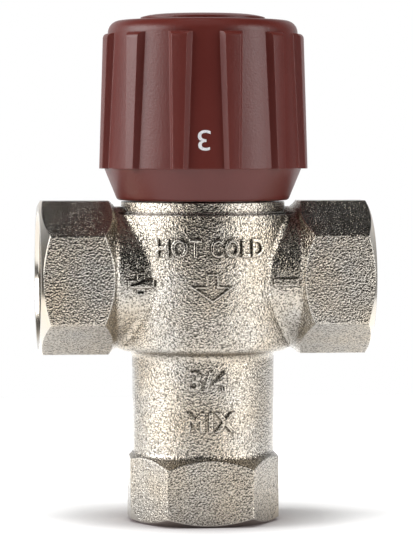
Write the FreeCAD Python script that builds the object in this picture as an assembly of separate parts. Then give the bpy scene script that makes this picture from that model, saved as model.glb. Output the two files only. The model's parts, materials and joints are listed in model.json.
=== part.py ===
import FreeCAD, Part
import math
import os

from FreeCAD import Vector

# A mixing valve for hot and cold water. Millimetres, +Z up. The origin is the
# centre of the outlet's end face, the hot inlet points along -X, the cold inlet
# along +X, and the marked front of the body faces -Y.

# ---------------------------------------------------------------------------
# Driving dimensions
# ---------------------------------------------------------------------------

# Ports: 3/4 inch parallel pipe thread in forged hexagons
thread_radius = 13.22            # major radius of the port thread
thread_depth = 14.0
thread_lead_in = 0.8
inlet_wall = 2.78                # thread to flat of the hexagon
outlet_wall = 2.4
port_span = 69.8                 # across the end faces of the two inlets
arm_height = 51.5                # inlet axis above the outlet's end face
inlet_hex_length = 15.1
outlet_hex_length = 13.9
hex_corner_round = 0.5
hex_flash_land = 0.1             # trimmed corner in the parting plane, beyond the flats
hex_end_bevel = 0.8              # flat of the hexagon to the ring left on the end face
hex_end_slope = 30.0             # degrees
hex_back_slope = 40.0            # degrees
hex_spare = 0.4                  # of the turned blank beyond the hexagon's corners
arm_step = 0.9                   # flat of the hexagon to the round arm
tube_step = 0.62                 # flat of the hexagon to the outlet tube
flash_trim = 0.25                # arms and tube are trimmed this much in the parting plane
root_fillet = 1.3

# Inside of the body
shuttle_radius = 12.5
shuttle_fit = 0.06               # running clearance in the divider
gallery_width = 2.7              # beyond the shuttle, hot and cold galleries
barrel_wall = 4.2
barrel_bulge = 1.1               # the barrel is this much narrower at its top
barrel_draft = 0.5               # and this much at its lower shoulder
waist_drop = 2.0                 # widest part of the barrel below the inlet axis
divider_length = 6.4
divider_drop = 0.5               # middle of the divider below the inlet axis
hot_gallery_height = 6.5
cold_gallery_height = 6.3
seat_lip_height = 1.2
seat_lip_width = 1.36
mixing_step = 1.3                # shuttle to mixing chamber
ledge_height = 4.5               # ring that carries the return spring
ledge_width = 2.2
passage_width = 16.0
passage_edge = 0.2                # of a gallery above and below its passage
shoulder_drop = 15.3             # inlet axis down to the barrel's lower shoulder
shoulder_round = 1.6
tube_fillet = 1.8

# Neck and bonnet
barrel_rise = 13.8               # inlet axis up to the parting line of the neck
groove_width = 0.5
groove_depth = 0.35
bonnet_thread_step = 1.1         # shuttle to the thread of the bonnet
bonnet_thread_fit = 0.1
neck_wall = 1.8
neck_step = 1.85                 # neck below the knob, beyond its upper part
neck_flare = 0.15
neck_height = 2.1                # parting line to the shoulder under the knob
neck_tongue = 3.6                # part of the neck that stands inside the knob
seal_thickness = 0.8
bonnet_hex = 28.0
bonnet_hex_height = 4.7
bonnet_hex_bevel = 1.7           # height of the bevel on the corners
bonnet_corner = 3.0              # width of that bevel
bonnet_rim_width = 1.9
turret_radius = 11.0
guide_floor = 2.0                # bonnet's lower end to the nut's guide
bore_floor = 3.0                 # bonnet's lower end to the end of its wide bore
turret_cover = 6.0               # above the thrust shoulder, round the seals
stop_width = 2.8
stop_height = 6.0
stop_setback = 2.0               # turret's top to the stop

# Shuttle and wax element
shuttle_travel = 2.4
hot_seat_gap = 0.2               # left under the shuttle at the end of its travel
shuttle_length = 12.9
shuttle_wall = 1.6
shuttle_waist = 0.7              # extra wall behind the seal's groove
shuttle_lip = 1.5                # thin rim of the wall at its upper end
seal_edge = 0.2                  # shuttle's seal below the divider's top
groove_fit = 0.1                 # seal groove beyond its seal, each side
cold_seat_gap = 0.05
spoke_inset = 0.6
spoke_height = 3.5
spoke_width = 2.4
spoke_root = 0.5                 # of a spoke inside its hub's wall
spoke_count = 4
hub_wall = 2.65
shuttle_seal_cord = 1.6
element_radius = 5.6
element_fit = 0.15
element_length = 22.0
element_flange = 1.8             # thickness, and its width beyond the cup
element_end_round = 1.2
guide_end_round = 0.6
guide_radius = 4.3
guide_length = 5.2
pin_radius = 1.7
pin_fit = 0.08
pin_exposed = 4.0
pin_depth = 9.4                  # of the pin inside the element
pin_room = 1.8                   # free hole under the pin
pin_bevel = 0.4
return_wire = 1.4
return_turns = 7
spring_side_gap = 0.3

# Adjusting nut, plunger and spindle
screw_pitch = 3.0
turn_up = 90.0                   # degrees of the dial towards hot
turn_down = 180.0                # degrees of the dial towards cold
plunger_radius = 4.2
plunger_stem = 3.8
plunger_flange = 1.2
plunger_flange_width = 2.0
plunger_nose = 2.8               # height and radius of the stub inside the spring
cage_fit = 0.2
ring_thickness = 0.8
ring_reach = 0.5                 # of the retaining ring into the nut
ring_fit = 0.1
ring_mouth = 30.0                # degrees
nut_flat_fit = 0.1
nut_hex = 15.8
overload_room = 7.8
overload_wire = 1.1
overload_turns = 4
nut_thread = 5.9
spindle_thread_radius = 4.5
spindle_thread_fit = 0.08
spindle_overrun = 1.0            # of the spindle's thread below the nut's
nut_top_gap = 0.45
collar_radius = 7.0
collar_height = 1.0
thrust_thickness = 0.8
thrust_fit = 0.1
spindle_radius = 4.0
spindle_fit = 0.05
spindle_end_gap = 0.2            # spindle below the knob's web
spline_runout = 0.3              # of the spline below the knob's hub
spindle_seal_cord = 1.3
seal_side_gap = 0.03
clip_thickness = 1.0
clip_depth = 0.8
clip_reach = 2.0
clip_mouth = 70.0                # degrees
spline_teeth = 16
spline_depth = 0.5
spline_fit = 0.06

# Shared by many pieces
edge_break = 0.5                 # small bevels
loose_fit = 0.1                  # rings and washers round what they lie on
past = 1.0                       # a cutting solid runs this far past the face it opens

# Knob
skirt_gap = 0.3                  # knob above the neck's shoulder, and round its tongue
skirt_height = 6.7
skirt_wall = 2.36
skirt_flare = 2.75
skirt_round = 0.9
grip_ledge = 0.35
grip_height = 28.2
grip_taper = 1.15
knob_wall = 2.3
dome_height = 3.1
dome_round = 2.6
dome_crown = 0.4
rib_count = 12
rib_tip_width = 2.2
rib_root_width = 3.5
rib_rise_low = 1.2
rib_rise_top = 1.4
rib_round = 1.1
dial_offset = -4.0               # degrees of the set panel from the front, towards -X
hub_radius = 7.5
hub_gap = 1.1                    # hub above the clip
web_thickness = 2.2
web_count = 6
stiffener_thickness = 1.6
stiffener_height = 9.5
stiffener_root = 0.5             # of a stiffener inside the hub
stiffener_turn = 30.0            # degrees from the set panel
knob_stop_half = 6.0             # degrees
stop_margin = 1.0                # degrees left at each end of the turn
screw_radius = 2.0
screw_length = 10.0              # inside the spindle
screw_head_radius = 3.8
screw_head_height = 2.6
screw_head_round = 0.8
screw_socket = 3.0
screw_socket_floor = 0.8
screw_thread_fit = 0.05
screw_end_gap = 2.0              # tapped hole below the screw
screw_hole_fit = 0.2
washer_radius = 4.6
washer_thickness = 0.8
well_fit = 0.4
cap_radius = 13.1
cap_lip = 1.1                    # cap beyond its plug
cap_thickness = 1.1
cap_edge = 0.45                  # height of its rim
cap_flat_radius = 8.6            # inside this its top is flat
cap_fit = 0.1
cap_depth = 2.1
cap_plug_wall = 1.2

# ---------------------------------------------------------------------------
# Radii and levels that follow from them
# ---------------------------------------------------------------------------

inlet_half = thread_radius + inlet_wall
outlet_half = thread_radius + outlet_wall
arm_radius = inlet_half - arm_step
tube_radius = outlet_half - tube_step
inlet_reach = port_span / 2

divider_radius = shuttle_radius + shuttle_fit
gallery_radius = shuttle_radius + gallery_width
barrel_radius = gallery_radius + barrel_wall
barrel_top_radius = barrel_radius - barrel_bulge
mixing_radius = shuttle_radius - mixing_step
ledge_radius = mixing_radius - ledge_width
bonnet_bore = shuttle_radius + bonnet_thread_step
bonnet_thread = bonnet_bore - bonnet_thread_fit
tongue_radius = bonnet_bore + neck_wall
neck_radius = tongue_radius + neck_step

divider_bottom = arm_height - divider_length / 2 - divider_drop
divider_top = divider_bottom + divider_length
hot_floor = divider_bottom - hot_gallery_height
hot_seat = hot_floor + seat_lip_height
gallery_top = divider_top + cold_gallery_height
ledge_top = thread_depth + ledge_height
shoulder_level = arm_height - shoulder_drop
neck_line = arm_height + barrel_rise
neck_shoulder = neck_line + neck_height
neck_top = neck_shoulder + neck_tongue

shuttle_bottom = hot_seat + shuttle_travel + hot_seat_gap
shuttle_top = shuttle_bottom + shuttle_length
shuttle_bore = shuttle_radius - shuttle_wall
waist_bore = shuttle_bore - shuttle_waist
cold_seat = shuttle_top + cold_seat_gap
spoke_bottom = shuttle_bottom + spoke_inset
spoke_top = spoke_bottom + spoke_height
seal_level = divider_top - shuttle_seal_cord - seal_edge
hub_bore = element_radius + element_fit
shuttle_hub = hub_bore + hub_wall
flange_top = spoke_top + element_flange
guide_top = flange_top + guide_length
plunger_bottom = guide_top + pin_exposed
pin_bottom = guide_top - pin_depth

flange_bottom = plunger_bottom + plunger_stem
spring_floor = flange_bottom + plunger_flange
plunger_edge = plunger_radius + plunger_flange_width
cage_radius = plunger_edge + cage_fit
nut_bottom = flange_bottom - 2 * ring_thickness
nut_shoulder = spring_floor + overload_room
nut_top = nut_shoulder + nut_thread
nut_thread_radius = spindle_thread_radius + spindle_thread_fit
nut_rise = screw_pitch * turn_up / 360
collar_bottom = nut_top + nut_rise + nut_top_gap
collar_top = collar_bottom + collar_height
thrust_shoulder = collar_top + thrust_thickness + thrust_fit
turret_top = thrust_shoulder + turret_cover
spindle_bore = spindle_radius + spindle_fit
stop_top = turret_top - stop_setback
stop_bottom = stop_top - stop_height
clip_bottom = turret_top + thrust_fit
clip_top = clip_bottom + clip_thickness

knob_bottom = neck_shoulder + skirt_gap
grip_bottom = knob_bottom + skirt_height
grip_top = grip_bottom + grip_height
knob_top = grip_top + dome_height
skirt_bore = tongue_radius + skirt_gap
skirt_radius = skirt_bore + skirt_wall
skirt_top_radius = skirt_radius + skirt_flare
panel_low = skirt_top_radius + grip_ledge
panel_top = panel_low - grip_taper
hub_bottom = clip_top + hub_gap
well_top = knob_top - cap_depth
web_top = well_top - washer_thickness - screw_head_height - well_fit
web_bottom = web_top - web_thickness
spindle_top = web_bottom - spindle_end_gap
spline_bottom = hub_bottom - spline_runout
screw_bottom = spindle_top - screw_length
set_panel = -90 + dial_offset
full_turn = turn_up + turn_down
bonnet_stop = set_panel + turn_up + (360 - full_turn) / 2
bonnet_stop_half = (360 - full_turn) / 2 - knob_stop_half - stop_margin


# ---------------------------------------------------------------------------
# Small makers
# ---------------------------------------------------------------------------

def up(z):
    return Vector(0, 0, z)


def rod(radius, z0, z1):
    return Part.makeCylinder(radius, z1 - z0, up(z0))


def ring(outer, inner, z0, z1):
    return rod(outer, z0, z1).cut(rod(inner, z0 - past, z1 + past))


def revolved(edges):
    """Solid of revolution about Z from a closed run of edges in the XZ plane."""
    face = Part.Face(Part.Wire(edges))
    return face.revolve(Vector(0, 0, 0), Vector(0, 0, 1), 360)


def turned(points):
    """Solid of revolution about Z from a closed outline of (radius, z) corners."""
    corners = [Vector(r, 0, z) for r, z in points]
    return revolved(Part.makePolygon(corners + corners[:1]).Edges)


def softened(points, radii):
    """Turned solid whose outline corners are rounded: radii maps a corner's place to its radius."""
    corners = [Vector(r, 0, z) for r, z in points]
    count = len(corners)
    starts = list(corners)
    ends = list(corners)
    arcs = {}
    for place, radius in radii.items():
        here = corners[place]
        back = (corners[place - 1] - here).normalize()
        ahead = (corners[(place + 1) % count] - here).normalize()
        half = back.getAngle(ahead) / 2
        starts[place] = here + back * (radius / math.tan(half))
        ends[place] = here + ahead * (radius / math.tan(half))
        bisector = (back + ahead).normalize()
        middle = here + bisector * (radius / math.sin(half) - radius)
        arcs[place] = Part.Arc(starts[place], middle, ends[place]).toShape()
    edges = []
    for place in range(count):
        if place in arcs:
            edges.append(arcs[place])
        after = (place + 1) % count
        edges.append(Part.makeLine(ends[place], starts[after]))
    return revolved(edges)


def hexagon(across_flats, z0, z1, corner_round=0.0):
    """Hexagonal prism about Z with two corners in the XZ plane and flats facing -Y and +Y."""
    point = across_flats / 2 / math.cos(math.radians(30))
    corners = []
    for step in range(7):
        angle = math.radians(60 * step)
        corners.append(Vector(point * math.cos(angle), point * math.sin(angle), z0))
    prism = Part.Face(Part.makePolygon(corners)).extrude(up(z1 - z0))
    if corner_round > 0:
        upright = [edge for edge in prism.Edges if abs(edge.tangentAt(edge.FirstParameter).z) > 0.9]
        prism = prism.makeFillet(corner_round, upright)
    return prism


def sector(outer, inner, z0, z1, middle, half_width):
    """Piece of a ring, centred on an angle in degrees."""
    blank = Part.makeCylinder(outer, z1 - z0, up(z0), Vector(0, 0, 1), 2 * half_width)
    blank.rotate(Vector(0, 0, 0), Vector(0, 0, 1), middle - half_width)
    return blank.cut(rod(inner, z0 - past, z1 + past))


def slab(half_width, z0, z1, reach=100.0):
    """Everything between two planes that face -X and +X."""
    return Part.makeBox(2 * half_width, 2 * reach, z1 - z0, Vector(-half_width, -reach, z0))


def cord_ring(middle_radius, cord, level):
    """O-ring."""
    return Part.makeTorus(middle_radius, cord / 2 - seal_side_gap, up(level))


def coil(mean_radius, wire, z0, z1, turns):
    """Compression spring with its wire's outside between two levels."""
    rise = z1 - z0 - wire
    helix = Part.makeHelix(rise / turns, rise, mean_radius)
    section = Part.Wire(Part.makeCircle(wire / 2, Vector(mean_radius, 0, 0), Vector(0, 1, 0)))
    spring = Part.Wire(helix.Edges).makePipeShell([section], True, True)
    spring.translate(up(z0 + wire / 2))
    return spring


def star(tip, root, teeth, z0, z1):
    """Straight spline of pointed teeth."""
    corners = []
    for step in range(2 * teeth):
        angle = math.pi * step / teeth
        radius = tip if step % 2 == 0 else root
        corners.append(Vector(radius * math.cos(angle), radius * math.sin(angle), z0))
    return Part.Face(Part.makePolygon(corners + corners[:1])).extrude(up(z1 - z0))


def fused(solids):
    whole = solids[0].multiFuse(solids[1:]) if len(solids) > 1 else solids[0]
    return whole.removeSplitter()


def to_inlet(shape, side):
    """Turns a port that was made about Z, mouth down, to the inlet on the side of -X or +X."""
    placed = shape.copy()
    placed.rotate(Vector(0, 0, 0), Vector(0, 1, 0), 90 if side < 0 else -90)
    placed.translate(Vector(side * inlet_reach, 0, arm_height))
    return placed


# ---------------------------------------------------------------------------
# Body
# ---------------------------------------------------------------------------

def port_outside(half, hex_length, stub_radius, stub_length):
    """Hexagon with its mouth at z = 0 and a round stub behind it, all as forged and trimmed."""
    end_ring = half - hex_end_bevel
    outer = half / math.cos(math.radians(30)) + hex_spare
    end_rise = (outer - end_ring) * math.tan(math.radians(hex_end_slope))
    back_rate = math.tan(math.radians(hex_back_slope))
    back_start = hex_length + (half - stub_radius) * back_rate
    back_end = hex_length - (outer - half) * back_rate
    outline = [
        (0, 0),
        (end_ring, 0),
        (outer, end_rise),
        (outer, back_end),
        (stub_radius, back_start),
        (stub_radius, stub_length),
        (0, stub_length),
    ]
    blank = softened(outline, {4: root_fillet})
    blank = blank.common(hexagon(2 * half, -past, stub_length + past, hex_corner_round))
    hex_trim = slab(half + hex_flash_land, -past, back_start)
    stub_trim = slab(stub_radius - flash_trim, back_start, stub_length + past)
    return blank.common(hex_trim.fuse(stub_trim))


def port_bore():
    """Thread bore with its lead-in, mouth at z = 0."""
    return turned([
        (0, -past),
        (thread_radius + thread_lead_in + past, -past),
        (thread_radius, thread_lead_in),
        (thread_radius, thread_depth),
        (0, thread_depth),
    ])


def trunk():
    """Barrel and its shoulders, before the neck is stepped in."""
    low = shoulder_level
    high = neck_shoulder + past
    end = low - tube_fillet - 2 * past
    corners = [
        Vector(0, 0, end),
        Vector(tube_radius, 0, end),
        Vector(tube_radius, 0, low - tube_fillet),
    ]
    edges = [Part.makeLine(corners[0], corners[1]), Part.makeLine(corners[1], corners[2])]
    turn = math.sqrt(0.5)
    fillet_middle = Vector(tube_radius + tube_fillet * (1 - turn), 0, low - tube_fillet * (1 - turn))
    fillet_end = Vector(tube_radius + tube_fillet, 0, low)
    edges.append(Part.Arc(corners[2], fillet_middle, fillet_end).toShape())
    low_radius = barrel_radius - barrel_draft
    round_start = Vector(low_radius - shoulder_round, 0, low)
    round_middle = Vector(low_radius - shoulder_round * (1 - turn), 0, low + shoulder_round * (1 - turn))
    round_end = Vector(low_radius, 0, low + shoulder_round)
    edges.append(Part.makeLine(fillet_end, round_start))
    edges.append(Part.Arc(round_start, round_middle, round_end).toShape())
    waist = Vector(barrel_radius, 0, arm_height - waist_drop)
    top = Vector(barrel_top_radius, 0, high)
    edges.append(Part.Arc(round_end, waist, top).toShape())
    edges.append(Part.makeLine(top, Vector(0, 0, high)))
    edges.append(Part.makeLine(Vector(0, 0, high), corners[0]))
    barrel = revolved(edges)
    barrel.rotate(Vector(0, 0, 0), Vector(0, 0, 1), 90)
    return barrel


def body_inside():
    outlet = port_bore()
    through = turned([
        (0, thread_depth - past),
        (ledge_radius, thread_depth - past),
        (ledge_radius, ledge_top),
        (mixing_radius, ledge_top),
        (mixing_radius, hot_seat),
        (mixing_radius + seat_lip_width, hot_seat),
        (mixing_radius + seat_lip_width, hot_floor),
        (gallery_radius, hot_floor),
        (gallery_radius, divider_bottom),
        (divider_radius, divider_bottom),
        (divider_radius, divider_top),
        (gallery_radius, divider_top),
        (gallery_radius, gallery_top),
        (bonnet_bore, gallery_top),
        (bonnet_bore, neck_top + past),
        (0, neck_top + past),
    ])
    cuts = [outlet, through]
    for side, floor, roof in ((-1, hot_seat, divider_bottom), (1, divider_top, gallery_top)):
        cuts.append(to_inlet(port_bore(), side))
        cuts.append(passage(side, floor + passage_edge, roof - passage_edge))
    return cuts


def passage(side, floor, roof):
    """Flat round-ended way from an inlet into its gallery."""
    half = (roof - floor) / 2
    level = floor + half
    inner = gallery_radius - gallery_width
    reach = inlet_reach - thread_depth + past
    straight = passage_width - 2 * half
    block = Part.makeBox(reach - inner, straight, 2 * half, Vector(inner, -straight / 2, floor))
    ends = []
    for edge in (-straight / 2, straight / 2):
        ends.append(Part.makeCylinder(half, reach - inner, Vector(inner, edge, level), Vector(1, 0, 0)))
    way = fused([block] + ends)
    if side < 0:
        way.rotate(Vector(0, 0, 0), Vector(0, 0, 1), 180)
    return way


def arm(side):
    """Round arm from the axis to its hexagon, trimmed at the die's parting plane."""
    length = inlet_reach - inlet_hex_length / 2
    blank = rod(arm_radius, 0, length).common(slab(arm_radius - flash_trim, 0, length))
    blank.rotate(Vector(0, 0, 0), Vector(0, 1, 0), 90 * side)
    blank.translate(up(arm_height))
    return blank


def root_edges(whole, limb):
    """Edges in which the round of an arm meets the barrel, without the trimmed lands."""
    chosen = []
    for edge in whole.Edges:
        middle = edge.valueAt((edge.FirstParameter + edge.LastParameter) / 2)
        on_limb = Part.Vertex(middle).distToShape(limb.Shells[0])[0] < 0.001
        off_axis = math.hypot(middle.x, middle.y) < barrel_radius + 0.2
        on_round = abs(middle.z - arm_height) < arm_radius - flash_trim - 0.001
        across = abs(edge.tangentAt(edge.FirstParameter).x) < 0.999
        if on_limb and off_axis and on_round and across:
            chosen.append(edge)
    return chosen


def forging():
    """The whole outside of the body, before machining."""
    core = trunk()
    for side in (-1, 1):
        limb = arm(side)
        joined = core.fuse(limb)
        core = joined.makeFillet(root_fillet, root_edges(joined, limb))
    arms = arm(-1).fuse(arm(1))
    above = rod(barrel_radius + root_fillet + past, neck_line, neck_shoulder + 2 * past)
    neck = turned([
        (0, neck_line - past),
        (neck_radius + neck_flare, neck_line - past),
        (neck_radius + neck_flare, neck_line),
        (neck_radius, neck_shoulder),
        (tongue_radius, neck_shoulder),
        (tongue_radius, neck_top),
        (0, neck_top),
    ])
    groove_root = barrel_top_radius - groove_depth
    groove = ring(barrel_radius + 2 * past, groove_root, neck_line - groove_width, neck_line)
    core = core.cut(above.cut(arms)).cut(groove.cut(arms)).fuse(neck)
    for side in (-1, 1):
        port = port_outside(inlet_half, inlet_hex_length, arm_radius, inlet_hex_length + 3 * root_fillet)
        core = core.fuse(to_inlet(port, side))
    tube_top = shoulder_level - tube_fillet - past
    outlet_end = port_outside(outlet_half, outlet_hex_length, tube_radius, tube_top)
    return core.fuse(outlet_end).removeSplitter()


def body():
    whole = forging()
    for cut in body_inside():
        whole = whole.cut(cut)
    return whole.removeSplitter()


# ---------------------------------------------------------------------------
# Bonnet
# ---------------------------------------------------------------------------

def bonnet():
    hex_bottom = neck_top + seal_thickness
    hex_top = hex_bottom + bonnet_hex_height
    rim_outer = shuttle_bore + bonnet_rim_width
    relief = gallery_top + thrust_fit
    stem = turned([
        (shuttle_bore, cold_seat),
        (rim_outer, cold_seat),
        (rim_outer, gallery_top),
        (bonnet_thread - edge_break, relief),
        (bonnet_thread, relief + edge_break),
        (bonnet_thread, hex_bottom + past),
        (turret_radius, hex_bottom + past),
        (turret_radius, turret_top - edge_break),
        (turret_radius - edge_break, turret_top),
        (spindle_bore, turret_top),
        (spindle_bore, cold_seat + bore_floor),
        (shuttle_bore, cold_seat + bore_floor),
    ])
    head = hexagon(bonnet_hex, hex_bottom, hex_top).common(turned([
        (0, hex_bottom),
        (bonnet_hex / 2, hex_bottom),
        (bonnet_hex / 2 + bonnet_corner, hex_bottom + bonnet_hex_bevel),
        (bonnet_hex / 2 + bonnet_corner, hex_top - bonnet_hex_bevel),
        (bonnet_hex / 2, hex_top),
        (0, hex_top),
    ])).cut(rod(spindle_bore, hex_bottom - past, hex_top + past))
    stop = sector(turret_radius + stop_width, turret_radius - past, stop_bottom, stop_top,
                  bonnet_stop, bonnet_stop_half)
    whole = fused([stem, head, stop])
    guide = hexagon(nut_hex + 2 * nut_flat_fit, cold_seat + guide_floor, thrust_shoulder)
    return whole.cut(guide).removeSplitter()


def bonnet_seal():
    return ring(tongue_radius - 2 * loose_fit, bonnet_bore + loose_fit, neck_top, neck_top + seal_thickness)


# ---------------------------------------------------------------------------
# Shuttle, wax element and return spring
# ---------------------------------------------------------------------------

def shuttle():
    groove = seal_level - shuttle_seal_cord / 2 - groove_fit
    groove_top = seal_level + shuttle_seal_cord / 2 + groove_fit
    groove_root = divider_radius - shuttle_seal_cord
    wall = turned([
        (shuttle_bore, shuttle_bottom),
        (shuttle_radius, shuttle_bottom),
        (shuttle_radius, groove),
        (groove_root, groove),
        (groove_root, groove_top),
        (shuttle_radius, groove_top),
        (shuttle_radius, shuttle_top),
        (shuttle_bore, shuttle_top),
        (shuttle_bore, shuttle_top - shuttle_lip),
        (waist_bore, shuttle_top - shuttle_lip - shuttle_waist),
        (waist_bore, spoke_bottom + shuttle_waist),
        (shuttle_bore, spoke_bottom),
    ])
    parts = [wall, ring(shuttle_hub, hub_bore, spoke_bottom, spoke_top)]
    for step in range(spoke_count):
        spoke = Part.makeBox(shuttle_bore - shuttle_hub + 2 * spoke_root, spoke_width, spoke_height,
                             Vector(shuttle_hub - spoke_root, -spoke_width / 2, spoke_bottom))
        spoke.rotate(Vector(0, 0, 0), Vector(0, 0, 1), 45 + step * 360 / spoke_count)
        parts.append(spoke)
    return fused(parts)


def shuttle_seal():
    return cord_ring(divider_radius - shuttle_seal_cord / 2, shuttle_seal_cord, seal_level)


def wax_element():
    bottom = spoke_top - element_length
    flange_radius = element_radius + element_flange
    blank = softened([
        (0, bottom),
        (element_radius, bottom),
        (element_radius, spoke_top),
        (flange_radius, spoke_top),
        (flange_radius, flange_top),
        (guide_radius, flange_top),
        (guide_radius, guide_top),
        (0, guide_top),
    ], {1: element_end_round, 6: guide_end_round})
    return blank.cut(rod(pin_radius + pin_fit, pin_bottom - pin_room, guide_top + past))


def element_pin():
    return turned([
        (0, pin_bottom),
        (pin_radius - pin_bevel, pin_bottom),
        (pin_radius, pin_bottom + pin_bevel),
        (pin_radius, plunger_bottom),
        (0, plunger_bottom),
    ])


def return_spring():
    outer = shuttle_bore - spring_side_gap
    return coil(outer - return_wire / 2, return_wire, ledge_top, spoke_bottom, return_turns)


# ---------------------------------------------------------------------------
# Adjusting nut with its overload spring
# ---------------------------------------------------------------------------

def adjusting_nut():
    blank = hexagon(nut_hex, nut_bottom, nut_top)
    cage = turned([
        (0, nut_bottom - past),
        (cage_radius, nut_bottom - past),
        (cage_radius, flange_bottom - ring_thickness),
        (cage_radius + ring_reach, flange_bottom - ring_thickness),
        (cage_radius + ring_reach, flange_bottom),
        (cage_radius, flange_bottom),
        (cage_radius, nut_shoulder),
        (nut_thread_radius, nut_shoulder),
        (nut_thread_radius, nut_top + past),
        (0, nut_top + past),
    ])
    return blank.cut(cage)


def nut_ring():
    bottom = flange_bottom - ring_thickness
    outer = cage_radius + ring_reach - ring_fit
    inner = plunger_radius + cage_fit
    whole = ring(outer, inner, bottom, flange_bottom)
    mouth = sector(outer + past, inner - past, bottom - past, flange_bottom + past, 90, ring_mouth / 2)
    return whole.cut(mouth)


def plunger():
    return turned([
        (0, plunger_bottom),
        (plunger_radius - edge_break, plunger_bottom),
        (plunger_radius, plunger_bottom + edge_break),
        (plunger_radius, flange_bottom),
        (plunger_edge, flange_bottom),
        (plunger_edge, spring_floor),
        (plunger_nose, spring_floor),
        (plunger_nose, spring_floor + plunger_nose - edge_break),
        (plunger_nose - edge_break, spring_floor + plunger_nose),
        (0, spring_floor + plunger_nose),
    ])


def overload_spring():
    outer = cage_radius - spring_side_gap
    return coil(outer - overload_wire / 2, overload_wire, spring_floor, nut_shoulder, overload_turns)


# ---------------------------------------------------------------------------
# Spindle and what rides on it
# ---------------------------------------------------------------------------

def seal_levels():
    middle = (thrust_shoulder + turret_top) / 2
    return {"spindle_seal_lower": middle - spindle_seal_cord, "spindle_seal_upper": middle + spindle_seal_cord}


def spindle():
    groove_root = spindle_bore - spindle_seal_cord
    thread_bottom = nut_shoulder - spindle_overrun
    blank = turned([
        (0, thread_bottom),
        (spindle_thread_radius - edge_break, thread_bottom),
        (spindle_thread_radius, thread_bottom + edge_break),
        (spindle_thread_radius, collar_bottom),
        (collar_radius, collar_bottom),
        (collar_radius, collar_top),
        (spindle_radius, collar_top),
        (spindle_radius, clip_bottom),
        (spindle_radius - clip_depth, clip_bottom),
        (spindle_radius - clip_depth, clip_top),
        (spindle_radius, clip_top),
        (spindle_radius, spline_bottom),
        (0, spline_bottom),
    ])
    for level in seal_levels().values():
        half = spindle_seal_cord / 2 + groove_fit
        blank = blank.cut(ring(spindle_radius + past, groove_root, level - half, level + half))
    spline = star(spindle_radius, spindle_radius - spline_depth, spline_teeth, spline_bottom, spindle_top)
    tapped = rod(screw_radius, screw_bottom - screw_end_gap, spindle_top + past)
    return blank.fuse(spline).cut(tapped).removeSplitter()


def thrust_washer():
    return ring(collar_radius, spindle_radius + loose_fit, collar_top, collar_top + thrust_thickness)


def spindle_clip():
    outer = spindle_radius + clip_reach
    inner = spindle_radius - clip_depth
    whole = ring(outer, inner, clip_bottom, clip_top)
    mouth = sector(outer + past, inner - past, clip_bottom - past, clip_top + past, 90, clip_mouth / 2)
    return whole.cut(mouth)


# ---------------------------------------------------------------------------
# Knob
# ---------------------------------------------------------------------------

def knob_outside():
    outline = [
        (0, knob_bottom),
        (skirt_radius, knob_bottom),
        (skirt_top_radius, grip_bottom),
        (panel_low, grip_bottom),
        (panel_top, grip_top),
        (panel_top, knob_top - dome_crown),
        (cap_radius, knob_top),
        (0, knob_top),
    ]
    return softened(outline, {1: skirt_round, 5: dome_round})


def grip_ribs():
    """Ribs with sloping flanks, under one common cone with a rounded shoulder."""
    root_radius = panel_top - past
    tip_radius = panel_low + rib_rise_low + past
    flank = (rib_root_width - rib_tip_width) / 2 / rib_rise_low
    root_half = rib_tip_width / 2 + flank * (panel_low + rib_rise_low - root_radius)
    tip_half = rib_tip_width / 2 - flank * past
    section = [
        Vector(root_radius, -root_half, grip_bottom),
        Vector(tip_radius, -tip_half, grip_bottom),
        Vector(tip_radius, tip_half, grip_bottom),
        Vector(root_radius, root_half, grip_bottom),
    ]
    blank = Part.Face(Part.makePolygon(section + section[:1])).extrude(up(grip_height))
    envelope = softened([
        (0, grip_bottom),
        (panel_low + rib_rise_low, grip_bottom),
        (panel_top + rib_rise_top, grip_top),
        (0, grip_top),
    ], {2: rib_round})
    ribs = []
    for step in range(rib_count):
        rib = blank.common(envelope)
        rib.rotate(Vector(0, 0, 0), Vector(0, 0, 1), set_panel + (step + 0.5) * 360 / rib_count)
        ribs.append(rib)
    return ribs


def knob_inside():
    """Room under the knob, round its hub."""
    room = softened([
        (0, knob_bottom - past),
        (skirt_bore, knob_bottom - past),
        (skirt_bore, neck_top),
        (panel_low - knob_wall, grip_bottom + knob_wall),
        (panel_top - knob_wall, grip_top - knob_wall),
        (0, grip_top - knob_wall),
    ], {4: dome_round})
    return room.cut(rod(hub_radius, hub_bottom, grip_top))


def knob():
    shell = knob_outside().cut(knob_inside())
    additions = grip_ribs()
    roof = grip_top - knob_wall
    web_start = hub_radius - stiffener_root
    for step in range(web_count):
        web = Part.makeBox(panel_top - knob_wall / 2 - web_start, stiffener_thickness, stiffener_height,
                           Vector(web_start, -stiffener_thickness / 2, roof - stiffener_height))
        web.rotate(Vector(0, 0, 0), Vector(0, 0, 1), set_panel + stiffener_turn + step * 360 / web_count)
        additions.append(web)
    stop_root = turret_radius + skirt_gap
    additions.append(sector(panel_top - past, stop_root, stop_bottom, roof, set_panel, knob_stop_half))
    whole = shell.multiFuse(additions)
    socket_tip = spindle_radius + spline_fit
    whole = whole.cut(star(socket_tip, socket_tip - spline_depth, spline_teeth, hub_bottom - past, web_bottom))
    whole = whole.cut(rod(screw_radius + screw_hole_fit, web_bottom - past, web_top + past))
    whole = whole.cut(rod(washer_radius + well_fit, web_top, knob_top + past))
    whole = whole.cut(rod(cap_radius - cap_lip, well_top, knob_top + past))
    return whole.removeSplitter()


def knob_washer():
    return ring(washer_radius, screw_radius + loose_fit, web_top, web_top + washer_thickness)


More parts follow.
